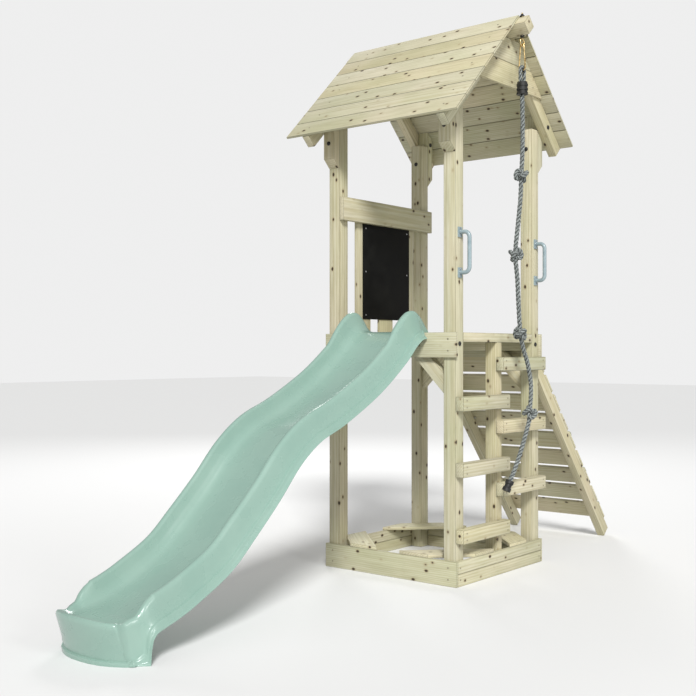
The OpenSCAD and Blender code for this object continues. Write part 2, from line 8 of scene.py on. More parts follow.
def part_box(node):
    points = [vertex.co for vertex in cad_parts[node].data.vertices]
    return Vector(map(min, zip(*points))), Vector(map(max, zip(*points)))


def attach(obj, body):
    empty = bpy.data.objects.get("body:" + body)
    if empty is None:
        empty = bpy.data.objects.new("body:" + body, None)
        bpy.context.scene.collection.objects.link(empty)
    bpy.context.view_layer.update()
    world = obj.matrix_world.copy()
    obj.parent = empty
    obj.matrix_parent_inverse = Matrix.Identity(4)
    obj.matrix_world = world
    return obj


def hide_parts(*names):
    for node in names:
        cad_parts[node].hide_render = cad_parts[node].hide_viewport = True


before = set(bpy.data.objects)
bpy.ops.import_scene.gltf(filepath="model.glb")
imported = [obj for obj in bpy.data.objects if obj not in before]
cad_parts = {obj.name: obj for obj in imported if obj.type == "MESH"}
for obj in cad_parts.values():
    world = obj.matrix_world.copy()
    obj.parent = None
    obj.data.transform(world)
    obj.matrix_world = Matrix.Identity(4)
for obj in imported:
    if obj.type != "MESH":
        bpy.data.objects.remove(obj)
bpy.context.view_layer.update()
print("loaded the frame")

# the tower's sizes in millimetres, from its middle, as in the part's source
tower = {"post": 68, "bar": 45, "boardW": 120, "board": 14, "gap": 1, "halfW": 389, "halfD": 396,
         "postH": 2280, "deck": 1200, "deckT": 20, "planks": 5, "brace": 210, "seat": 18}
post, bar = tower["post"], tower["bar"]
boardW, boardT = tower["boardW"], tower["board"]
deck = tower["deck"]
halfW, halfD = tower["halfW"], tower["halfD"]
inW, inD = halfW - post, halfD - post
outW, outD = halfW + boardT, halfD + boardT
midD = halfD - post / 2
beamTop = deck - tower["deckT"]
beamLow = beamTop - post
postLow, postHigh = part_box("corner_posts")
midY = (postLow.y + postHigh.y) / 2


# millimetres from the tower's middle to the frame's metres
def at(x, y, z):
    return Vector((x / 1000, y / 1000 + midY, z / 1000))


# camera, first
view = {"place": (3.1087, -4.0806, 1.1069), "yaw": 39.262, "pitch": 0.213, "lens": 54.035, "sensor": 36}
cameraData = bpy.data.cameras.new("mainCamera")
cameraData.lens = view["lens"]
cameraData.sensor_width = view["sensor"]
camera = bpy.data.objects.new("mainCamera", cameraData)
bpy.context.scene.collection.objects.link(camera)
camera.location = view["place"]
camera.rotation_euler = (math.radians(90 + view["pitch"]), 0, math.radians(view["yaw"]))
bpy.context.scene.camera = camera


# materials
def material(name):
    m = bpy.data.materials.new(name)
    m.use_nodes = True
    return m, m.node_tree.nodes, m.node_tree.links, m.node_tree.nodes["Principled BSDF"]


def addNode(nodes, kind, **values):
    n = nodes.new(kind)
    for key, value in values.items():
        if hasattr(n, key):
            setattr(n, key, value)
        else:
            n.inputs[key.replace("_", " ")].default_value = value
    return n


def grey(value):
    return (value, value, value)


def toneRamp(nodes, stops):
    r = nodes.new("ShaderNodeValToRGB")
    e = r.color_ramp.elements
    while len(e) < len(stops):
        e.new(0.5)
    for i, (place, color) in enumerate(stops):
        e[i].position = place
        e[i].color = (*color, 1)
    return r


# factor, a and b are each a number, a colour or another node's output
def mixColor(nodes, links, how, factor, a, b):
    n = nodes.new("ShaderNodeMix")
    n.data_type = "RGBA"
    n.blend_type = how
    for socket, value in ((n.inputs[0], factor), (n.inputs[6], a), (n.inputs[7], b)):
        if isinstance(value, (int, float)):
            socket.default_value = value
        elif isinstance(value, tuple):
            socket.default_value = (*value, 1)
        else:
            links.new(value, socket)
    return n.outputs[2]


wood = {"light": (0.55, 0.515, 0.395), "dark": (0.43, 0.395, 0.28),
        "knotRing": (0.25, 0.18, 0.09), "knotHeart": (0.035, 0.022, 0.01),
        "fibreScale": (1.6, 34, 34), "ringScale": (0.35, 7.5, 7.5), "knotScale": (12, 18, 18),
        "ringShare": 0.6, "knotWobble": 0.06, "relief": 0.002}


def woodMaterial(name):
    m, nodes, links, shader = material(name)
    grain = addNode(nodes, "ShaderNodeAttribute", attribute_name="grain")
    board = addNode(nodes, "ShaderNodeAttribute", attribute_name="boardToneAndEdgeShade")
    stretch = addNode(nodes, "ShaderNodeMapping", Scale=wood["fibreScale"])
    links.new(grain.outputs["Vector"], stretch.inputs["Vector"])
    fibre = addNode(nodes, "ShaderNodeTexNoise", Scale=3.2, Detail=7.0, Roughness=0.62)
    links.new(stretch.outputs[0], fibre.inputs["Vector"])
    # growth rings, as arcs on an end and long stripes on a face
    long = addNode(nodes, "ShaderNodeMapping", Scale=wood["ringScale"])
    links.new(grain.outputs["Vector"], long.inputs["Vector"])
    rings = addNode(nodes, "ShaderNodeTexWave", wave_type="RINGS", rings_direction="X", Scale=4.4,
                    Distortion=3.6, Detail=2.0, Detail_Scale=1.3)
    links.new(long.outputs[0], rings.inputs["Vector"])
    # broad patches where the treatment took up more
    patch = addNode(nodes, "ShaderNodeTexNoise", Scale=2.4, Detail=3.0)
    links.new(grain.outputs["Vector"], patch.inputs["Vector"])
    fibreTone = toneRamp(nodes, [(0.28, wood["dark"]), (0.6, wood["light"])])
    links.new(fibre.outputs["Fac"], fibreTone.inputs[0])
    ringTone = toneRamp(nodes, [(0.25, (1.02, 1.02, 1.0)), (0.8, (0.84, 0.80, 0.68))])
    links.new(rings.outputs["Fac"], ringTone.inputs[0])
    patchTone = toneRamp(nodes, [(0.3, (0.86, 0.90, 0.78)), (0.7, (1.04, 1.02, 1.0))])
    links.new(patch.outputs["Fac"], patchTone.inputs[0])
    color = mixColor(nodes, links, "MULTIPLY", wood["ringShare"], fibreTone.outputs[0],
                     ringTone.outputs[0])
    color = mixColor(nodes, links, "MULTIPLY", 1.0, color, patchTone.outputs[0])
    # each board's own random tone, times the painted shade along its rounded edges
    color = mixColor(nodes, links, "MULTIPLY", 1.0, color, board.outputs["Color"])
    # knots, each a dark heart in a brown ring
    knotAt = addNode(nodes, "ShaderNodeMapping", Scale=wood["knotScale"])
    links.new(grain.outputs["Vector"], knotAt.inputs["Vector"])
    wobble = addNode(nodes, "ShaderNodeTexNoise", Scale=60.0, Detail=2.0)
    links.new(grain.outputs["Vector"], wobble.inputs["Vector"])
    knots = addNode(nodes, "ShaderNodeTexVoronoi", Scale=1.0)
    links.new(knotAt.outputs[0], knots.inputs["Vector"])
    uneven = addNode(nodes, "ShaderNodeMath", operation="MULTIPLY_ADD")
    uneven.inputs[1].default_value = wood["knotWobble"]
    links.new(wobble.outputs["Fac"], uneven.inputs[0])
    links.new(knots.outputs["Distance"], uneven.inputs[2])
    ringStops = [(0.0, grey(0.9)), (0.15, grey(0.7)), (0.2, grey(0.2)), (0.27, grey(0))]
    heartStops = [(0.0, grey(1)), (0.125, grey(1)), (0.16, grey(0))]
    for tone, stops in ((wood["knotRing"], ringStops), (wood["knotHeart"], heartStops)):
        knotMask = toneRamp(nodes, stops)
        links.new(uneven.outputs[0], knotMask.inputs[0])
        color = mixColor(nodes, links, "MIX", knotMask.outputs[0], color, tone)
    links.new(color, shader.inputs["Base Color"])
    shine = toneRamp(nodes, [(0.2, grey(0.52)), (0.8, grey(0.7))])
    links.new(fibre.outputs["Fac"], shine.inputs[0])
    links.new(shine.outputs[0], shader.inputs["Roughness"])
    bump = addNode(nodes, "ShaderNodeBump", Strength=0.25, Distance=wood["relief"])
    links.new(fibre.outputs["Fac"], bump.inputs["Height"])
    links.new(bump.outputs[0], shader.inputs["Normal"])
    return m


# a finish that wanders between two tones, and is a little duller where it is lighter
def mottled(name, low, high, rough, metal=0.0, scale=40.0, bumpSize=0.0, coat=0.0, shineLevel=0.5):
    m, nodes, links, shader = material(name)
    where = nodes.new("ShaderNodeTexCoord")
    speck = addNode(nodes, "ShaderNodeTexNoise", Scale=scale, Detail=5.0, Roughness=0.6)
    links.new(where.outputs["Object"], speck.inputs["Vector"])
    tone = toneRamp(nodes, [(0.32, low), (0.68, high)])
    links.new(speck.outputs["Fac"], tone.inputs[0])
    links.new(tone.outputs[0], shader.inputs["Base Color"])
    shine = toneRamp(nodes, [(0.3, grey(rough * 0.85)), (0.7, grey(min(1, rough * 1.2)))])
    links.new(speck.outputs["Fac"], shine.inputs[0])
    links.new(shine.outputs[0], shader.inputs["Roughness"])
    shader.inputs["Metallic"].default_value = metal
    shader.inputs["Coat Weight"].default_value = coat
    shader.inputs["Specular IOR Level"].default_value = shineLevel
    if bumpSize:
        fine = addNode(nodes, "ShaderNodeTexNoise", Scale=scale * 9, Detail=3.0)
        links.new(where.outputs["Object"], fine.inputs["Vector"])
        bump = addNode(nodes, "ShaderNodeBump", Strength=0.35, Distance=bumpSize)
        links.new(fine.outputs["Fac"], bump.inputs["Height"])
        links.new(bump.outputs[0], shader.inputs["Normal"])
    return m


pine = woodMaterial("treatedPine")
mintPlastic = mottled("mintPlastic", (0.222, 0.345, 0.292), (0.246, 0.368, 0.312), rough=0.27,
                      scale=6, coat=0.25)
handlePlastic = mottled("handlePlastic", (0.21, 0.275, 0.30), (0.29, 0.36, 0.38), rough=0.25,
                        scale=25, coat=0.3)
stone = mottled("holdStone", (0.20, 0.21, 0.15), (0.44, 0.44, 0.34), rough=0.8,
                scale=45, bumpSize=0.0012)
slate = mottled("chalkboardBlack", (0.002, 0.002, 0.0018), (0.008, 0.008, 0.0072), rough=0.7,
                scale=14, shineLevel=0.12)
blackPlastic = mottled("blackPlastic", (0.012, 0.012, 0.012), (0.03, 0.03, 0.028), rough=0.45,
                       scale=60, shineLevel=0.3)
yellowZinc = mottled("yellowZinc", (0.60, 0.42, 0.17), (0.80, 0.62, 0.32), rough=0.3,
                     metal=1.0, scale=90)
steel = mottled("brightSteel", (0.55, 0.56, 0.57), (0.74, 0.75, 0.76), rough=0.32,
                metal=1.0, scale=120)
timberScrew = mottled("timberScrew", (0.22, 0.19, 0.13), (0.36, 0.32, 0.24), rough=0.45,
                      metal=0.8, scale=150)


def ropeMaterial():
    m, nodes, links, shader = material("ropeFibre")
    where = nodes.new("ShaderNodeTexCoord")
    yarn = addNode(nodes, "ShaderNodeTexNoise", Scale=260.0, Detail=4.0, Roughness=0.7)
    links.new(where.outputs["Object"], yarn.inputs["Vector"])
    tone = toneRamp(nodes, [(0.34, (0.03, 0.034, 0.033)), (0.5, (0.14, 0.155, 0.15)),
                            (0.66, (0.34, 0.365, 0.355))])
    links.new(yarn.outputs["Fac"], tone.inputs[0])
    # dark flecks among the yarns
    fleck = addNode(nodes, "ShaderNodeTexVoronoi", Scale=70.0)
    links.new(where.outputs["Object"], fleck.inputs["Vector"])
    fleckMask = toneRamp(nodes, [(0.0, grey(0.75)), (0.28, grey(0))])
    links.new(fleck.outputs["Distance"], fleckMask.inputs[0])
    color = mixColor(nodes, links, "MIX", fleckMask.outputs[0], tone.outputs[0], (0.05, 0.055, 0.055))
    # painted shade between the strands and a painted highlight on their crowns
    groove = addNode(nodes, "ShaderNodeAttribute", attribute_name="groove")
    grooveShadeAndCrownHighlight = toneRamp(nodes, [(0.0, grey(0.02)), (0.4, grey(0.16)), (0.62, grey(0.6)), (0.85, grey(1.25))])
    links.new(groove.outputs["Fac"], grooveShadeAndCrownHighlight.inputs[0])
    color = mixColor(nodes, links, "MULTIPLY", 1.0, color, grooveShadeAndCrownHighlight.outputs[0])
    links.new(color, shader.inputs["Base Color"])
    shader.inputs["Roughness"].default_value = 0.85
    bump = addNode(nodes, "ShaderNodeBump", Strength=0.6, Distance=0.0008)
    links.new(yarn.outputs["Fac"], bump.inputs["Height"])
    links.new(bump.outputs[0], shader.inputs["Normal"])
    return m


ropeFibre = ropeMaterial()
print("materials ready")


# modelling helpers
def choose(objs):
    for o in list(bpy.context.selected_objects):
        o.select_set(False)
    for o in objs:
        o.select_set(True)
    bpy.context.view_layer.objects.active = objs[0]


def applyModifiers(obj):
    choose([obj])
    for m in list(obj.modifiers):
        bpy.ops.object.modifier_apply(modifier=m.name)


def applyPlace():
    bpy.ops.object.transform_apply(location=True, rotation=True, scale=True)


def smooth(obj, angle=40):
    choose([obj])
    bpy.ops.object.shade_smooth_by_angle(angle=math.radians(angle))


def joined(name, objs):
    choose(objs)
    if len(objs) > 1:
        bpy.ops.object.join()
    objs[0].name = name
    return objs[0]


def finishPiece(obj, mat, body="tower", nodes=()):
    obj.data.materials.clear()
    obj.data.materials.append(mat)
    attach(obj, body)
    if nodes:
        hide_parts(*nodes)
    return obj


def clamp(value):
    return max(0, min(1, value))


dice = random.Random(7)  # each timber draws its own patch of grain and its own tone
onFace = 0.0001  # a point this near to a plane lies on it


# A sawn piece: its grain runs along "along", its thickness along "face", round-edged, with
# planes sawn off. "line" is how dark the painted shade along its rounded edges and joints is.
def timber(centre, along, face, size, cuts=(), edge=2.2, line=0.5):
    bpy.ops.mesh.primitive_cube_add(size=1)
    obj = bpy.context.active_object
    x = Vector(along).normalized()
    z = Vector(face).normalized()
    y = z.cross(x)
    turn = Matrix((x, y, z)).transposed().to_4x4()
    turn.translation = at(*centre)
    obj.matrix_world = turn @ Matrix.Diagonal((*[s / 1000 for s in size], 1))
    applyPlace()
    if cuts:
        bpy.ops.object.mode_set(mode="EDIT")
        for place, normal in cuts:
            bpy.ops.mesh.select_all(action="SELECT")
            bpy.ops.mesh.bisect(plane_co=at(*place), plane_no=Vector(normal), use_fill=True,
                                clear_outer=True)
        bpy.ops.object.mode_set(mode="OBJECT")
    bevel = obj.modifiers.new("edge", "BEVEL")
    bevel.width = edge / 1000
    bevel.segments = 2
    applyModifiers(obj)
    smooth(obj)
    back = turn.inverted()
    shift = Vector((dice.uniform(-9, 9), dice.uniform(0.02, 0.2), dice.uniform(-0.15, 0.15)))
    obj.data.attributes.new("grain", "FLOAT_VECTOR", "POINT")
    obj.data.attributes.new("boardToneAndEdgeShade", "FLOAT_COLOR", "POINT")
    grain = obj.data.attributes["grain"]
    tone = obj.data.attributes["boardToneAndEdgeShade"]
    bright = dice.uniform(0.93, 1.06)
    warm = dice.uniform(-0.025, 0.03)
    for i, v in enumerate(obj.data.vertices):
        local = back @ v.co
        offPlanes = [abs(abs(local[k]) - size[k] / 2000) for k in range(3)]
        offPlanes += [abs((v.co - at(*place)).dot(Vector(normal).normalized())) for place, normal in cuts]
        # the middle of a rounded edge lies on none of the piece's faces
        # rounded edges get painted shade: their tone is multiplied by "line", standing in for the shade along
        # edges and in joints
        shade = 1 if min(offPlanes) < onFace else line
        grain.data[i].vector = local + shift
        tone.data[i].color = ((bright + warm) * shade, bright * shade, (bright - warm * 1.5) * shade, 1)
    return obj


grainWays = {"X": ((1, 0, 0), (0, 0, 1)), "Y": ((0, 1, 0), (0, 0, 1)), "Z": ((0, 0, 1), (1, 0, 0))}


# A timber square to the tower, from its ends along x, y and z
def beam(axis, xEnds, yEnds, zEnds, cuts=(), edge=2.2):
    centre = [(a + b) / 2 for a, b in (xEnds, yEnds, zEnds)]
    x, y, z = [b - a for a, b in (xEnds, yEnds, zEnds)]
    size = {"X": (x, y, z), "Y": (y, x, z), "Z": (z, y, x)}[axis]
    return timber(centre, *grainWays[axis], size, cuts, edge)


# the ends of a stretch on one side of the middle, the lower first
def span(side, a, b):
    return sorted((side * a, side * b))


def wooden(node, pieces):
    return finishPiece(joined(node + "Timber", pieces), pine, "tower", [node])


both = (-1, 1)
corners = [(sx, sy) for sx in both for sy in both]

# base
wooden("corner_posts", [beam("Z", span(sx, inW, halfW), span(sy, inD, halfD), (0, tower["postH"]), edge=3)
                        for sx, sy in corners])
halfBoard = (boardW - tower["gap"]) / 2
courses = [(z, z + halfBoard) for z in (0, halfBoard + tower["gap"])]
wooden("base_front_board", [beam("X", (-outW, outW), (-outD, -halfD), (0, boardW))])
wooden("base_back_boards", [beam("X", (-outW, outW), (halfD, outD), course) for course in courses])
wooden("base_side_boards", [beam("Y", span(s, halfW, outW), (-halfD, halfD), course)
                            for s in both for course in courses])
seatRough = 700  # length before its ends are sawn off flush
seatNear = 2 * (boardT + post) + 0.5
seatMid = (seatNear + boardW * math.sqrt(2) / 2) / 2
wooden("corner_seats", [timber((sx * (outW - seatMid), sy * (outD - seatMid), boardW + tower["seat"] / 2),
                               (sx, -sy, 0), (0, 0, 1), (seatRough, boardW, tower["seat"]),
                               [((sx * outW, 0, 0), (sx, 0, 0)), ((0, sy * outD, 0), (0, sy, 0))])
                        for sx, sy in corners])

# deck
wooden("deck_cross_beams", [beam("X", (-inW, inW), (s * midD - bar / 2, s * midD + bar / 2),
                                 (beamLow, beamTop)) for s in both])
wooden("deck_side_beams", [beam("Y", span(s, inW, halfW), (-inD, inD), (deck - bar, deck)) for s in both])
wooden("deck_joist", [beam("X", (-inW, inW), (-bar / 2, bar / 2), (beamLow, beamTop))])
plankRoom = 2 * (inW - tower["gap"])
plankStep = (plankRoom - boardW) / (tower["planks"] - 1)
plankEnds = [(i * plankStep - plankRoom / 2, i * plankStep - plankRoom / 2 + boardW)
             for i in range(tower["planks"])]
wooden("deck_planks", [beam("Y", ends, (-halfD, halfD), (beamTop, deck)) for ends in plankEnds])
wooden("deck_fascias", [beam("X", (-outW, outW), span(s, halfD, outD), (deck - boardW, deck)) for s in both])
braceRough = 560
braceLow = beamLow - tower["brace"]
diag = post * math.sqrt(2)
wooden("knee_braces", [timber((sx * (inW - tower["brace"] / 2), sy * midD, (braceLow + beamLow + diag) / 2),
                              (-sx, 0, 1), (0, 1, 0), (braceRough, post, bar),
                              [((sx * inW, 0, 0), (sx, 0, 0)), ((0, 0, beamLow), (0, 0, 1))])
                       for sx, sy in corners])

# ladder
ladder = {"topNearSlide": 895, "topNearRamp": 1081, "pitch": 312, "rungs": 3, "lap": 32}
wooden("ladder_post", [beam("Z", (inW, halfW), (-bar / 2, bar / 2), (0, deck - bar))])
for node, top, ends in (("ladder_rungs_near_slide", ladder["topNearSlide"], (-halfD, ladder["lap"])),
                        ("ladder_rungs_near_ramp", ladder["topNearRamp"], (-ladder["lap"], halfD))):
    tops = [top - i * ladder["pitch"] for i in range(ladder["rungs"])]
    wooden(node, [beam("Y", (halfW, halfW + bar), ends, (z - post, z), edge=4) for z in tops])
print("tower timber")

# climbing ramp
ramp = {"angle": 50, "pitch": 144, "slats": 10, "drop": 6}
slope = math.radians(ramp["angle"])
rampTop = deck - ramp["drop"]
down = Vector((0, math.cos(slope), -math.sin(slope)))
outward = Vector((0, math.sin(slope), math.cos(slope)))


# a place on the ramp: across it, down along it and up off it
def onRamp(x, s, h):
    return (x, outD + s * down.y + h * outward.y, rampTop + s * down.z + h * outward.z)


rampEnd = (rampTop - post * math.cos(slope)) / math.sin(slope)
rampSpare = 200  # beyond the cut at the deck
wooden("ramp_stringers", [timber(onRamp(s * (inW - bar / 2), (rampEnd - rampSpare) / 2, -post / 2),
                                 down, outward, (rampEnd + rampSpare, bar, post),
                                 [((0, outD, 0), (0, -1, 0))], edge=3) for s in both])
wooden("ramp_slats", [timber(onRamp(0, i * ramp["pitch"] + boardW / 2, boardT / 2), (1, 0, 0), outward,
                             (2 * inW, boardW, boardT)) for i in range(ramp["slats"])])

# holds, in metres but for their places on the ramp
hold = {"radius": 0.041, "shape": (0.98, 0.9, 1.04), "firstSlat": 2, "turn": 1.3, "inset": 10, "along": 50,
        "lean": 0.013, "lift": 0.011, "lipFrom": 0.012, "lipStart": -0.006, "lipWidth": 0.02,
        "height": 0.043, "wellR": 0.0105, "wellFrom": 0.02, "wellFloor": 0.037,
        "roughness": (("lumps", 0.06, 0.012), ("chips", 0.028, 0.006))}  # name, size, depth


# Moulded holds: a squashed ball, flattened at its foot and roughened, with a lip and a well for its bolt
def climbingHold(i):
    side = 1 if i % 2 == 1 else -1
    bpy.ops.mesh.primitive_ico_sphere_add(subdivisions=5, radius=hold["radius"])
    obj = bpy.context.active_object
    for kind, grainSize, strength in hold["roughness"]:
        texture = bpy.data.textures.new(f"{kind}{i}", "CLOUDS")
        texture.noise_scale = grainSize
        rough = obj.modifiers.new("rough", "DISPLACE")
        rough.texture = texture
        rough.texture_coords = "LOCAL"
        rough.strength = strength
        rough.mid_level = 0.62
    applyModifiers(obj)
    bpy.ops.object.mode_set(mode="EDIT")
    bpy.ops.mesh.select_all(action="SELECT")
    bpy.ops.mesh.bisect(plane_co=(0, 0, 0), plane_no=(0, 0, -1), use_fill=True, clear_outer=True)
    bpy.ops.mesh.select_all(action="SELECT")
    bpy.ops.transform.resize(value=hold["shape"])
    bpy.ops.object.mode_set(mode="OBJECT")
    obj.rotation_euler = (0, 0, i * hold["turn"])
    applyPlace()
    for v in obj.data.vertices:
        if v.co.z > hold["lipFrom"] and v.co.xy.length > hold["wellR"]:
            # a raised lip that leans to the ramp's edge
            lift = clamp((v.co.x - hold["lipStart"]) / hold["lipWidth"]) * (v.co.z / hold["height"]) ** 1.5
            v.co.x += hold["lean"] * lift
            v.co.z += hold["lift"] * lift
        elif v.co.z > hold["wellFrom"]:  # the well of the bolt's head
            v.co.z = min(v.co.z, hold["wellFloor"])
    turn = Matrix(((side, 0, 0), side * down, outward)).transposed().to_4x4()
    place = onRamp(side * (inW - bar - hold["inset"]), i * ramp["pitch"] + hold["along"], boardT)
    turn.translation = at(*place)
    obj.matrix_world = turn
    applyPlace()
    smooth(obj, 60)
    return obj


finishPiece(joined("climbingHolds", [climbingHold(i) for i in range(hold["firstSlat"], ramp["slats"])]),
            stone, "tower", ["climbing_holds"])
print("ramp")

# chalkboard
chalk = {"w": 412, "h": 504, "t": 5, "rail": 28, "railTop": 1904, "pitch": 196, "battenDrop": 20}
railLow = chalk["railTop"] - boardW
wooden("chalkboard_rail", [beam("Y", (-inW, -inW + chalk["rail"]), (-halfD, halfD),
                                (railLow, chalk["railTop"]), edge=3)])
wooden("chalkboard_battens", [beam("Z", (-inW - boardT, -inW),
                                   (i * chalk["pitch"] - boardW / 2, i * chalk["pitch"] + boardW / 2),
                                   (deck, chalk["railTop"] - chalk["battenDrop"])) for i in (-1, 0, 1)])
panel = beam("Z", (-inW, -inW + chalk["t"]), (-chalk["w"] / 2, chalk["w"] / 2),
             (railLow - chalk["h"], railLow), edge=1)
panel.name = "chalkboardPanel"
finishPiece(panel, slate, "tower", ["chalkboard"])

# roof
roof = {"ridge": 2760, "boards": 7, "boardW": 112, "boardT": 12, "half": 560, "bare": 54,
        "bareFar": 24, "gable": 2425, "gableRough": 450, "legLow": 2052, "clear": 0.3}
ridge = roof["ridge"]
wooden("roof_beam", [timber((0, 0, ridge - diag / 2), (1, 0, 0), (0, 1, 1),
                            (2 * roof["half"], post, post), edge=3)])
roofPitch = roof["boardW"] + tower["gap"]
slopeLen = roof["boards"] * roofPitch - tower["gap"]
half45 = math.sqrt(0.5)


# a place on a roof slope: along the ridge, down from it and up off the rafters
def onSlope(side, x, u, h):
    return (x, side * (u + h) * half45, ridge - (u - h) * half45)


wooden("rafters", [timber(onSlope(sy, sx * (halfW + bar / 2), (slopeLen + post) / 2, -post / 2),
                          (0, sy, -1), (0, sy, 1), (slopeLen - post, bar, post), edge=3)
                   for sx, sy in corners])
outLeg = halfD + bar
wooden("roof_legs", [beam("Z", span(sx, inW, halfW), span(sy, halfD, outLeg), (roof["legLow"], ridge - halfD),
                          [((0, sy * halfD, roof["legLow"]), (0, sy, -1)),
                           ((0, sy * outLeg, ridge - outLeg), (0, sy, 1))])
                     for sx, sy in corners])
gableX = halfW + bar
gableStep = (ridge - diag - roof["gable"]) / 2
gableMid = roof["gable"] + gableStep
for node, ends in (("gable_lower_boards", (roof["gable"], gableMid - tower["gap"])),
                   ("gable_upper_boards", (gableMid, ridge - diag - roof["clear"]))):
    wooden(node, [beam("Y", span(s, gableX, gableX + boardT), (-roof["gableRough"], roof["gableRough"]), ends,
                       [((0, 0, ridge), (0, 1, 1)), ((0, 0, ridge), (0, -1, 1))]) for s in both])
coverX = (roof["bareFar"] - roof["bare"]) / 2
cover = (2 * roof["half"] - roof["bare"] - roof["bareFar"], roof["boardW"], roof["boardT"])
for node, side in (("roof_slope_slide_side", -1), ("roof_slope_ramp_side", 1)):
    # roof boards get a darker painted shade along their edges and joints (line=0.3)
    wooden(node, [timber(onSlope(side, coverX, i * roofPitch + roof["boardW"] / 2, roof["boardT"] / 2),
                         (1, 0, 0), (0, side, 1), cover, edge=3, line=0.3)
                  for i in range(roof["boards"])])
print("roof")

# slide: the bed's line from the deck down, the heights of its walls, and where they start,
# peak and come down to their usual height
slide = {"y": (60, 0, -50, -110, -199, -387, -624, -801, -934, -1060, -1200, -1325, -1489, -1570, -1625),
         "z": (1205, 1205, 1198, 1160, 1081, 951, 830, 759, 665, 534, 404, 298, 213, 179, 161),
         "wall": 76, "peak": 105, "wallMin": 6, "wallsFrom": 66, "peakAt": -50, "usualFrom": -200,
         "skirt": 36, "deckSkirt": 5, "deckHalf": 200, "thick": 3.5, "steps": 6}
# the foot: place along, bed height, rim height over it, depth of the outer wall (None = to the ground)
foot = ((-1650, 155, 74, 40), (-1672, 150, 66, 44), (-1688, 147, 54, 60), (-1697, 146, 45, 95),
        (-1701, 145, 41, None), (-1712, 143, 33, None), (-1726, 141, 26, None), (-1745, 140, 23, None),
        (-1768, 140, 18, None), (-1790, 144, 13, None), (-1808, 152, 9, None), (-1826, 162, 6, None),
        (-1838, 167, 3, None))
# the rounded front: place along and the height that everything is cut down to
front = ((-1846, 165), (-1850, 156), (-1848, 140), (-1832, 80), (-1818, 24), (-1817, 18), (-1826, 15),
         (-1827, 2), (-1826, 0))
frontBed, frontRim, frontFrom = 168, 2, -1600
# across: half width, share of the rim height (inside) or of the way down the outer wall
inside = ((0, 0.0), (60, 0.0), (108, 0.01), (130, 0.06), (144, 0.2), (155, 0.5), (164, 0.86),
          (167, 0.96), (171, 0.99), (177, 1.0))
outside = ((184, 0.0), (190, 0.04), (195, 0.16), (203, 0.45), (209, 0.64), (213, 0.725), (214, 0.745),
           (225, 0.76), (227, 0.79), (229, 0.92), (231, 0.935), (240, 0.95), (242, 0.965), (242, 1.0))
skirtHalf = outside[-1][0]
# towards its end the lip falls away to its corners, and the corners draw back and in
lip = {"from": -1768, "over": 50, "above": 120, "drop": 30, "curve": 2.5}
nose = {"from": -1700, "over": 110, "back": 76, "curve": 2.4, "narrow": 0.07, "height": 170}
ribs = {"from": -1701, "over": 60, "start": 0.725, "low": 0.87}
uncut = 9999


# a point on the smooth curve through the numbers in p, past number k by the share t
def curveAt(p, k, t):
    a, b, d, e = p[max(k - 1, 0)], p[k], p[k + 1], p[min(k + 2, len(p) - 1)]
    return 0.5 * (2 * b + (d - a) * t + (2 * a - 5 * b + 4 * d - e) * t * t
                  + (3 * b - a - 3 * d + e) * t ** 3)


# how far forward the foot's front may come at a height
def frontAt(z):
    wall = [(height, y) for y, height in reversed(front[1:])]
    for (z0, y0), (z1, y1) in zip(wall, wall[1:]):
        if z0 <= z <= z1:
            return y0 + (y1 - y0) * (z - z0) / max(z1 - z0, 1e-6)
    return front[1][0]


def rimAt(y):
    if y > slide["peakAt"]:
        rise = (slide["wallsFrom"] - y) / (slide["wallsFrom"] - slide["peakAt"])
        return max(slide["peak"] * math.sin(math.pi / 2 * min(1, rise)), slide["wallMin"])
    if y > slide["usualFrom"]:
        fall = slide["peakAt"] - slide["usualFrom"]
        return slide["wall"] + (slide["peak"] - slide["wall"]) * (y - slide["usualFrom"]) / fall
    return slide["wall"]


# each station: place along, bed height, the walls' direction, rim, outer wall's depth, highest point
def slideStations():
    line = []
    for k in range(len(slide["y"]) - 1):
        for j in range(slide["steps"]):
            t = j / slide["steps"]
            line.append((curveAt(slide["y"], k, t), curveAt(slide["z"], k, t)))
    line.append((slide["y"][-1], slide["z"][-1]))
    stations = []
    for i, (y, z) in enumerate(line):
        a, b = line[max(i - 1, 0)], line[min(i + 1, len(line) - 1)]
        d = Vector((b[0] - a[0], b[1] - a[1])).normalized()
        skirt = slide["skirt"] if y < -1 else slide["deckSkirt"]
        stations.append((y, z, (min(d.y, 0), -d.x), rimAt(y), skirt, uncut))
    for y, z, rim, skirt in foot:
        stations.append((y, z, (0, 1), rim, z if skirt is None else skirt, uncut))
    for y, cap in front:
        stations.append((y, frontBed, (0, 1), frontRim, frontBed, cap))
    return stations


# towards the foot's front the ribs of the outer wall run down to its base
def ribShare(share, y):
    if share < ribs["start"]:
        target = share * ribs["low"] / ribs["start"]
    else:
        target = ribs["low"] + (share - ribs["start"]) * (1 - ribs["low"]) / (1 - ribs["start"])
    return share + (target - share) * clamp((ribs["from"] - y) / ribs["over"])


def slidePoint(station, column):
    y, z, n, rim, skirt, cap = station
    sign, wall, width, share = column
    if wall == "out":
        share = ribShare(share, y)
        h = rim * (1 - share) - skirt * share
    else:
        h = rim * share
    py = y + n[0] * h
    pz = z + n[1] * h
    if skirt == z and wall == "out" and cap == uncut:
        pz = max(pz, 0)
    pz = min(pz, cap)
    if y < lip["from"] and pz > lip["above"]:
        pz -= lip["drop"] * min(1, (lip["from"] - y) / lip["over"]) * (width / skirtHalf) ** lip["curve"]
    if y < frontFrom:
        py = max(py, frontAt(pz))
    end = clamp((nose["from"] - y) / nose["over"])
    py += end * nose["back"] * (width / skirtHalf) ** nose["curve"]
    narrow = 1 - (nose["narrow"] + nose["narrow"] * max(0, 1 - pz / nose["height"])) * end
    spread = min(width, slide["deckHalf"]) if y > -2 else width
    return at(sign * spread * narrow, py - outD, pz)


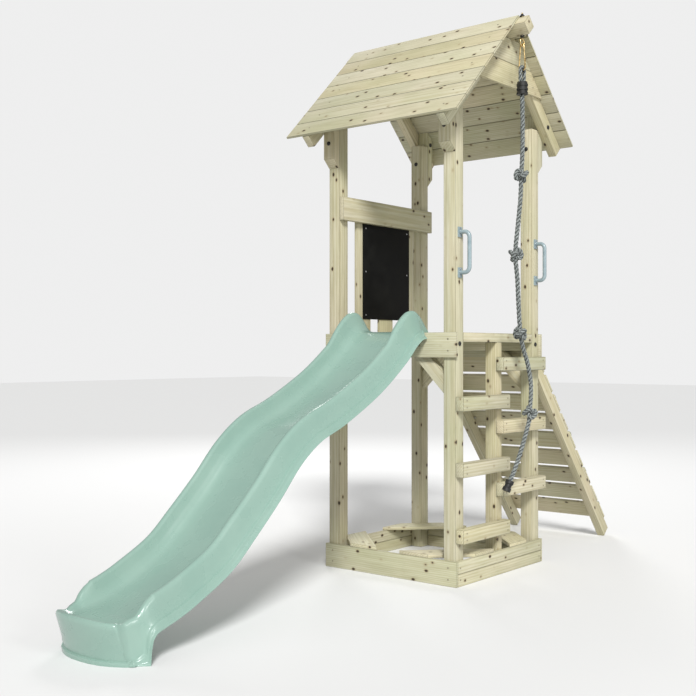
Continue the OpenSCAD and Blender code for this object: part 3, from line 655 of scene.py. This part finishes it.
def buildSlide():
    stations = slideStations()
    half = [("in", w, f) for w, f in inside] + [("out", w, f) for w, f in outside]
    across = [(-1, *p) for p in reversed(half[1:])] + [(1, *p) for p in half]
    bpy.ops.mesh.primitive_grid_add(x_subdivisions=len(across) - 1, y_subdivisions=len(stations) - 1, size=1)
    obj = bpy.context.active_object
    points = obj.data.vertices
    order = sorted(range(len(points)), key=lambda i: (round(points[i].co.y, 5), points[i].co.x))
    for rank, index in enumerate(order):
        points[index].co = slidePoint(stations[rank // len(across)], across[rank % len(across)])
    bpy.ops.object.mode_set(mode="EDIT")
    bpy.ops.mesh.select_all(action="SELECT")
    bpy.ops.mesh.remove_doubles(threshold=0.0002)
    bpy.ops.mesh.normals_make_consistent(inside=False)
    bpy.ops.object.mode_set(mode="OBJECT")
    skin = obj.modifiers.new("skin", "SOLIDIFY")
    skin.thickness = slide["thick"] / 1000
    skin.offset = -1
    applyModifiers(obj)
    smooth(obj, 50)
    obj.name = "slideShell"
    return finishPiece(obj, mintPlastic, "tower", ["slide_chute"])


buildSlide()
print("slide")

# rope, in metres; the route starts under its eye and is measured sideways from there
rope = {"diameter": 0.024, "length": 1.99, "lay": 0.066, "strand": 0.262, "knot": 0.076, "knotLay": 0.052,
        "knotDepth": 0.62, "knotSteps": 90, "eye": 0.0198, "eyeLay": 0.075, "eyeHalf": 0.0183}
collarLow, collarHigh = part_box("rope_collar")
rigX = (collarLow.x + collarHigh.x) / 2
rigY = (collarLow.y + collarHigh.y) / 2
rig = Vector((rigX, rigY, 0))
route = ((0, 0, collarLow.z), (0, 0.002, 2.290), (0, 0.004, 2.200), (0, 0.002, 2.090), (0, -0.009, 1.974),
         (0, -0.019, 1.850), (0, -0.048, 1.700), (0, -0.067, 1.580), (0, -0.048, 1.462), (0, -0.038, 1.350),
         (0, -0.019, 1.196), (0, 0.013, 1.114), (0, 0.043, 1.065), (0, 0.065, 1.012), (0, 0.083, 0.950),
         (0, 0.083, 0.880), (0, 0.071, 0.806), (0, 0.066, 0.765), (0, 0.039, 0.712), (-0.004, -0.012, 0.614),
         (-0.014, -0.048, 0.536), (-0.026, -0.074, 0.478))
knotPlaces = (4, 7, 10, 16)
routeSteps = 12
ropePath = []
for k in range(len(route) - 1):
    for j in range(routeSteps):
        ropePath.append(Vector([curveAt([p[a] for p in route], k, j / routeSteps) for a in range(3)]) + rig)
ropePath.append(Vector(route[-1]) + rig)


# Three strands laid round a line
def laidRope(name, line, diameter, lay):
    strandR = diameter * rope["strand"]
    offset = diameter / 2 - strandR
    normal = Vector((1, 0, 0))
    frames = []
    travelled = 0
    for i, p in enumerate(line):
        d = (line[min(i + 1, len(line) - 1)] - line[max(i - 1, 0)]).normalized()
        normal = (normal - d * normal.dot(d)).normalized()
        if i:
            travelled += (p - line[i - 1]).length
        frames.append((p, normal.copy(), d.cross(normal), travelled))
    strands = []
    for s in range(3):
        data = bpy.data.curves.new(name, "CURVE")
        data.dimensions = "3D"
        data.bevel_depth = strandR
        data.bevel_resolution = 2
        data.use_fill_caps = True
        spline = data.splines.new("POLY")
        spline.points.add(len(frames) - 1)
        for i, (p, a, b, t) in enumerate(frames):
            q = 2 * math.pi * (t / lay + s / 3)
            spline.points[i].co = (*(p + offset * (math.cos(q) * a + math.sin(q) * b)), 1)
        obj = bpy.data.objects.new(name, data)
        bpy.context.scene.collection.objects.link(obj)
        choose([obj])
        bpy.ops.object.convert(target="MESH")
        strands.append(bpy.context.active_object)
    obj = joined(name, strands)
    smooth(obj, 60)
    tree = KDTree(len(line))
    for i, p in enumerate(line):
        tree.insert(p, i)
    tree.balance()
    # this groove measure drives the rope's painted shade between strands and painted highlight on crowns
    obj.data.attributes.new("groove", "FLOAT", "POINT")
    groove = obj.data.attributes["groove"]
    for i, v in enumerate(obj.data.vertices):  # from 0 deep between the strands to 1 at their crowns
        groove.data[i].value = clamp((tree.find(v.co)[2] / diameter - 0.27) / 0.22)
    return obj


def resampled(line, step):
    out = [line[0]]
    for a, b in zip(line, line[1:]):
        n = max(1, round((b - a).length / step))
        out += [a.lerp(b, (j + 1) / n) for j in range(n)]
    return out


ropeLook = laidRope("climbingRope", resampled(ropePath, 0.005), rope["diameter"] * 0.98, rope["lay"])
finishPiece(ropeLook, ropeFibre, "climbing_rope", ["rope"])


# An overhand knot: the rope taken once through its own loop, pulled tight
def knotAt(i):
    place = Vector(route[i]) + rig
    reach = rope["knot"] / 2 - rope["diameter"] * 0.36
    turn = Matrix.Rotation(i * 0.9, 4, "Z") @ Matrix.Rotation(0.5, 4, "X")
    loop = []
    for j in range(rope["knotSteps"] + 1):
        t = 2 * math.pi * j / rope["knotSteps"]
        point = Vector(((math.sin(t) + 2 * math.sin(2 * t)) / 3 * reach,
                        (math.cos(t) - 2 * math.cos(2 * t)) / 3 * reach,
                        -math.sin(3 * t) * reach * rope["knotDepth"]))
        loop.append(turn @ point + place)
    return laidRope(f"knot{i}", loop, rope["diameter"] * 0.94, rope["knotLay"])


knotLooks = [finishPiece(knotAt(i), ropeFibre, "climbing_rope", ["rope_knots"] if n == 0 else [])
             for n, i in enumerate(knotPlaces)]

# the eye round the thimble: up one leg, over and down the other
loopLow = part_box("rope_loop")[0]
thimbleLow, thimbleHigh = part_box("rope_thimble")
eyeZ = (thimbleLow.z + thimbleHigh.z) / 2
eyeHalf = rope["eyeHalf"]
legSteps, bendSteps = 12, 16
eyeLine = [Vector((rigX, rigY - eyeHalf, loopLow.z + j * (eyeZ - loopLow.z) / legSteps))
           for j in range(legSteps)]
eyeLine += [Vector((rigX, rigY - eyeHalf * math.cos(math.pi * j / bendSteps),
                    eyeZ + eyeHalf * math.sin(math.pi * j / bendSteps))) for j in range(bendSteps + 1)]
eyeLine += [Vector((rigX, rigY + eyeHalf, eyeZ - (j + 1) * (eyeZ - loopLow.z) / legSteps))
            for j in range(legSteps)]
finishPiece(laidRope("ropeEye", eyeLine, rope["eye"], rope["eyeLay"]), ropeFibre,
            "climbing_rope", ["rope_loop"])
print("rope", round(sum((b - a).length for a, b in zip(ropePath, ropePath[1:])), 3))

# finish of the CAD nodes; the ones that aren't listed are timber
nodeFinish = {"chalkboard_screws": steel, "slide_screws": steel, "handle_screws": steel, "gate_pin": steel,
              "hold_bolts": steel, "grab_handles": handlePlastic, "deck_bolts": blackPlastic,
              "leg_bolts": blackPlastic, "rafter_bolts": blackPlastic, "eye_bolt_nuts": blackPlastic,
              "rope_collar": blackPlastic, "rope_end_clamp": blackPlastic, "rope_thimble": blackPlastic,
              "eye_bolt": yellowZinc, "snap_hook": yellowZinc, "hook_gate": yellowZinc,
              "board_screws": timberScrew, "rung_screws": timberScrew, "slat_screws": timberScrew,
              "roof_screws": timberScrew, "rope": ropeFibre, "rope_knots": ropeFibre, "rope_loop": ropeFibre,
              "chalkboard": slate, "climbing_holds": stone, "slide_chute": mintPlastic}
for name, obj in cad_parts.items():
    obj.data.materials.clear()
    obj.data.materials.append(nodeFinish.get(name, pine))

# the studio: a pale backdrop to look at, a softer fill to light with, one broad key and two softboxes
studio = {"floor": (0.74, 0.74, 0.735, 1), "floorSize": 60, "backdrop": 0.86, "fill": 0.36,
          "keyFrom": (0.52, -0.60, 0.60), "key": 3.7, "keySpread": 14,
          "sideFrom": (6.5, -1.8, 3.2), "sideAim": (0, 0.2, 1.3), "side": 90, "sideSize": 1.5,
          "rimFrom": (-4.5, 4.5, 5.0), "rimAim": (0, 0, 1.2), "rim": 150, "rimSize": 2.0}
bpy.ops.mesh.primitive_plane_add(size=studio["floorSize"], location=(0, 0, 0))
floor = bpy.context.active_object
floor.name = "floor"
floorMat = material("floor")[0]
floorShader = floorMat.node_tree.nodes["Principled BSDF"]
floorShader.inputs["Base Color"].default_value = studio["floor"]
floorShader.inputs["Roughness"].default_value = 0.9
floorShader.inputs["Specular IOR Level"].default_value = 0.1
floor.data.materials.append(floorMat)

bpy.context.scene.view_settings.view_transform = "Standard"
world = bpy.data.worlds.new("studio")
bpy.context.scene.world = world
world.use_nodes = True
air, wires = world.node_tree.nodes, world.node_tree.links
seen = air.new("ShaderNodeLightPath")
brightness = air.new("ShaderNodeMix")
wires.new(seen.outputs["Is Camera Ray"], brightness.inputs[0])
brightness.inputs[2].default_value = studio["fill"]
brightness.inputs[3].default_value = studio["backdrop"]
air["Background"].inputs["Color"].default_value = (1, 1, 1, 1)
wires.new(brightness.outputs[0], air["Background"].inputs["Strength"])


def lamp(name, kind, place, aim, power, size):
    data = bpy.data.lights.new(name, kind)
    data.energy = power
    if kind == "SUN":
        data.angle = math.radians(size)
    else:
        data.size = size
    obj = bpy.data.objects.new(name, data)
    bpy.context.scene.collection.objects.link(obj)
    obj.location = place
    obj.rotation_euler = (Vector(aim) - Vector(place)).to_track_quat("-Z", "Y").to_euler()


lamp("key", "SUN", Vector(studio["keyFrom"]) * 8, (0, 0, 0), studio["key"], studio["keySpread"])
lamp("side", "AREA", studio["sideFrom"], studio["sideAim"], studio["side"], studio["sideSize"])
lamp("rim", "AREA", studio["rimFrom"], studio["rimAim"], studio["rim"], studio["rimSize"])
print("stage and light")
